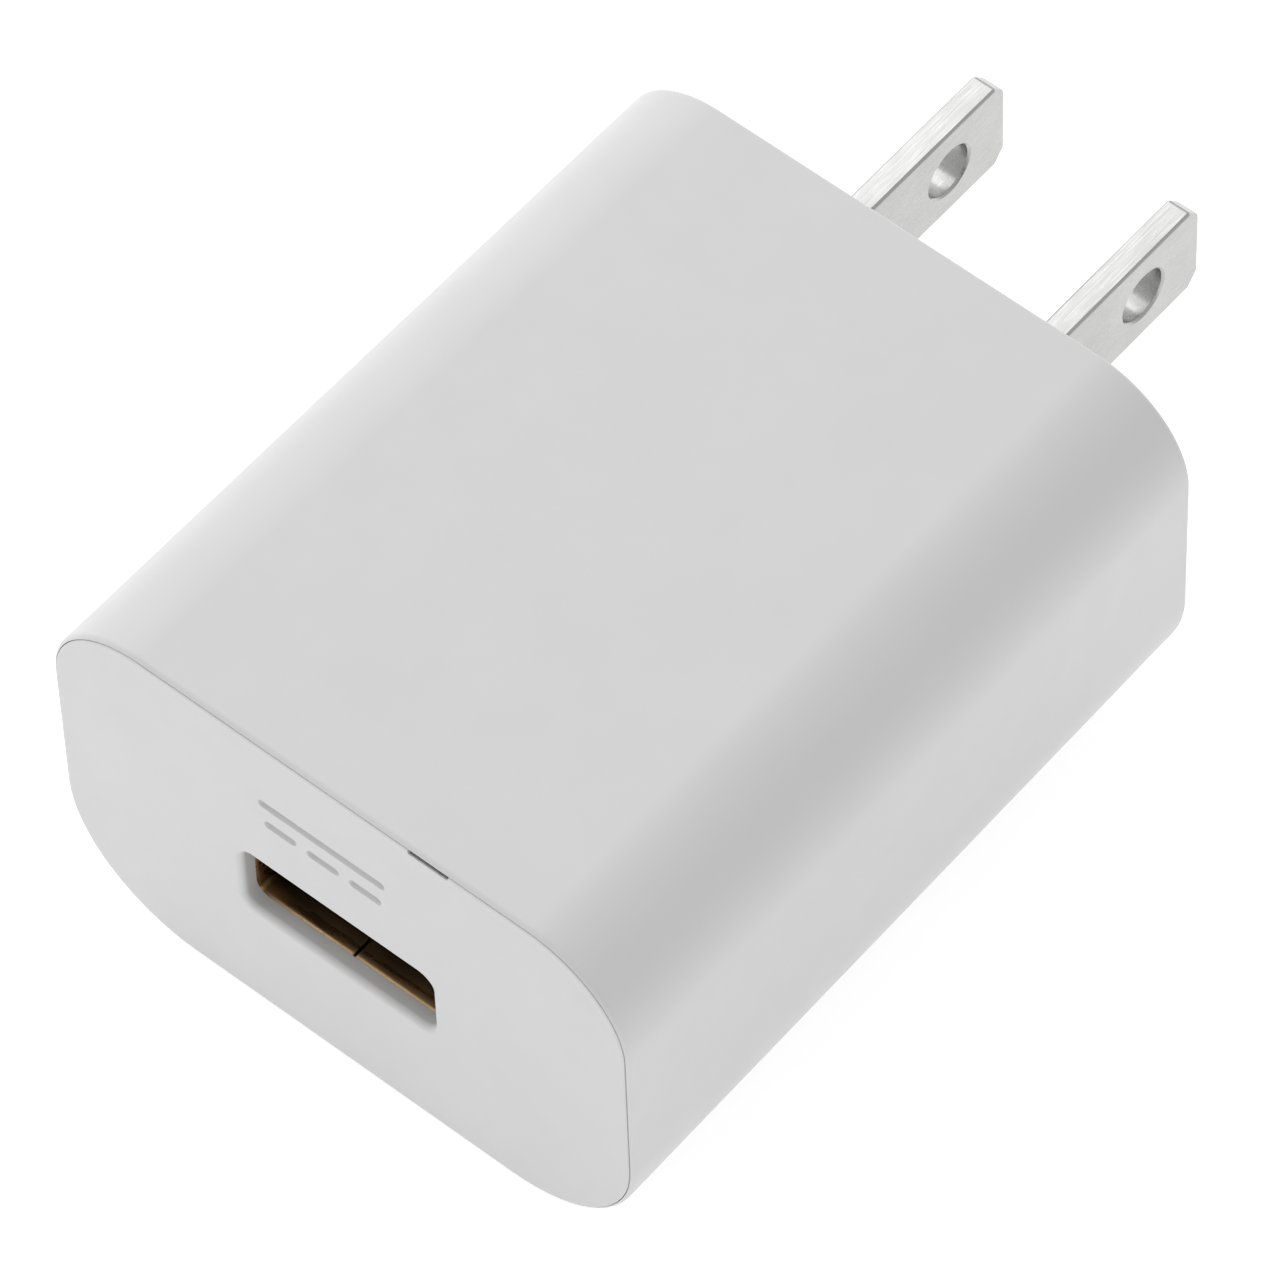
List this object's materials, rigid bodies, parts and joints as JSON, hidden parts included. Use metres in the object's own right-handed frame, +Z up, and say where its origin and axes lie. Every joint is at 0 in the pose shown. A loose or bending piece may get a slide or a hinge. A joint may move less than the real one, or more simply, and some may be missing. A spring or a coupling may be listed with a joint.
{
  "type": "usb wall charger",
  "caption": "Small white wall charger with flat mains blades at one end and a rectangular USB power outlet in the other.",
  "frame": {"origin": "middle of the plug face, on the plane that meets the wall outlet", "axes": "+Y out of the plug face along the blades, +Z up through the flat top face, +X across the blades; the USB face looks along -Y"},
  "size_m": [0.037, 0.0588, 0.0238],
  "materials": {
    "white_plastic": "satin moulded white plastic",
    "nickel_plate": "bright nickel plate on stamped strip",
    "tin_plate": "tinned",
    "shell_steel": "plated sheet with a warm tone",
    "gold_plate": "gold flash",
    "black_plastic": "matt moulded",
    "bobbin_plastic": "matt moulded",
    "ferrite": "matt sintered ferrite",
    "copper": "enamelled copper wire",
    "yellow_tape": "polyester tape",
    "can_sleeve": "dark sleeve over a drawn can",
    "rubber_bung": "matt rubber",
    "resistor_coat": "matt coating",
    "ceramic_blue": "dipped coating",
    "clear_film": "translucent film",
    "board_green": "solder mask over laminate"
  },
  "bodies": {
    "charger": {"housing_shell": "white_plastic", "front_cap": "white_plastic", "blade_left": "nickel_plate", "blade_right": "nickel_plate", "blade_lead_left": "tin_plate", "blade_lead_right": "tin_plate", "blade_carrier": "black_plastic", "usb_shell": "shell_steel", "usb_insulator": "black_plastic", "usb_contact_tail_1": "gold_plate", "usb_contact_tail_2": "gold_plate", "usb_contact_tail_3": "gold_plate", "usb_contact_tail_4": "gold_plate", "transformer_core_left": "ferrite", "transformer_core_right": "ferrite", "transformer_bobbin": "bobbin_plastic", "transformer_winding": "copper", "transformer_winding_tape": "yellow_tape", "transformer_core_band": "yellow_tape", "transformer_pin_1": "tin_plate", "transformer_pin_2": "tin_plate", "transformer_pin_3": "tin_plate", "transformer_pin_4": "tin_plate", "transformer_pin_5": "tin_plate", "transformer_pin_6": "tin_plate", "bulk_capacitor_1_can": "can_sleeve", "bulk_capacitor_1_bung": "rubber_bung", "bulk_capacitor_2_can": "can_sleeve", "bulk_capacitor_2_bung": "rubber_bung", "output_capacitor_1_can": "can_sleeve", "output_capacitor_1_bung": "rubber_bung", "output_capacitor_2_can": "can_sleeve", "output_capacitor_2_bung": "rubber_bung", "fusible_resistor": "resistor_coat", "input_choke_core": "ferrite", "input_choke_winding": "copper", "y_capacitor": "ceramic_blue", "bridge_rectifier": "black_plastic", "controller_chip": "black_plastic", "optocoupler": "black_plastic", "output_diode": "black_plastic", "snubber_resistor": "black_plastic", "snubber_capacitor": "clear_film", "insulation_sheet": "clear_film", "main_board": "board_green"},
    "contact_1": {"usb_contact_arm_1": "gold_plate"},
    "contact_2": {"usb_contact_arm_2": "gold_plate"},
    "contact_3": {"usb_contact_arm_3": "gold_plate"},
    "contact_4": {"usb_contact_arm_4": "gold_plate"},
    "latch_1": {"usb_latch_spring_1": "shell_steel"},
    "latch_2": {"usb_latch_spring_2": "shell_steel"},
    "latch_3": {"usb_latch_spring_3": "shell_steel"},
    "latch_4": {"usb_latch_spring_4": "shell_steel"}
  },
  "joints": [
    {"name": "usb_contact_1_flex", "type": "hinge", "parent": "charger", "child": "contact_1", "pos_m": [-0.0039, -0.0343, -0.0009], "axis": [-1, 0, 0], "range_deg": [0, 3], "stiffness_Nm_per_rad": 0.025},
    {"name": "usb_contact_2_flex", "type": "hinge", "parent": "charger", "child": "contact_2", "pos_m": [-0.0014, -0.0343, -0.0009], "axis": [-1, 0, 0], "range_deg": [0, 3], "stiffness_Nm_per_rad": 0.025},
    {"name": "usb_contact_3_flex", "type": "hinge", "parent": "charger", "child": "contact_3", "pos_m": [0.0006, -0.0343, -0.0009], "axis": [-1, 0, 0], "range_deg": [0, 3], "stiffness_Nm_per_rad": 0.025},
    {"name": "usb_contact_4_flex", "type": "hinge", "parent": "charger", "child": "contact_4", "pos_m": [0.0031, -0.0343, -0.0009], "axis": [-1, 0, 0], "range_deg": [0, 3], "stiffness_Nm_per_rad": 0.025},
    {"name": "usb_latch_1_flex", "type": "hinge", "parent": "charger", "child": "latch_1", "pos_m": [-0.0036, -0.04145, 0.0014], "axis": [1, 0, 0], "range_deg": [0, 4], "stiffness_Nm_per_rad": 0.04},
    {"name": "usb_latch_2_flex", "type": "hinge", "parent": "charger", "child": "latch_2", "pos_m": [0.0028, -0.04145, 0.0014], "axis": [1, 0, 0], "range_deg": [0, 4], "stiffness_Nm_per_rad": 0.04},
    {"name": "usb_latch_3_flex", "type": "hinge", "parent": "charger", "child": "latch_3", "pos_m": [-0.0036, -0.04145, -0.004], "axis": [-1, 0, 0], "range_deg": [0, 4], "stiffness_Nm_per_rad": 0.04},
    {"name": "usb_latch_4_flex", "type": "hinge", "parent": "charger", "child": "latch_4", "pos_m": [0.0028, -0.04145, -0.004], "axis": [-1, 0, 0], "range_deg": [0, 4], "stiffness_Nm_per_rad": 0.04}
  ]
}
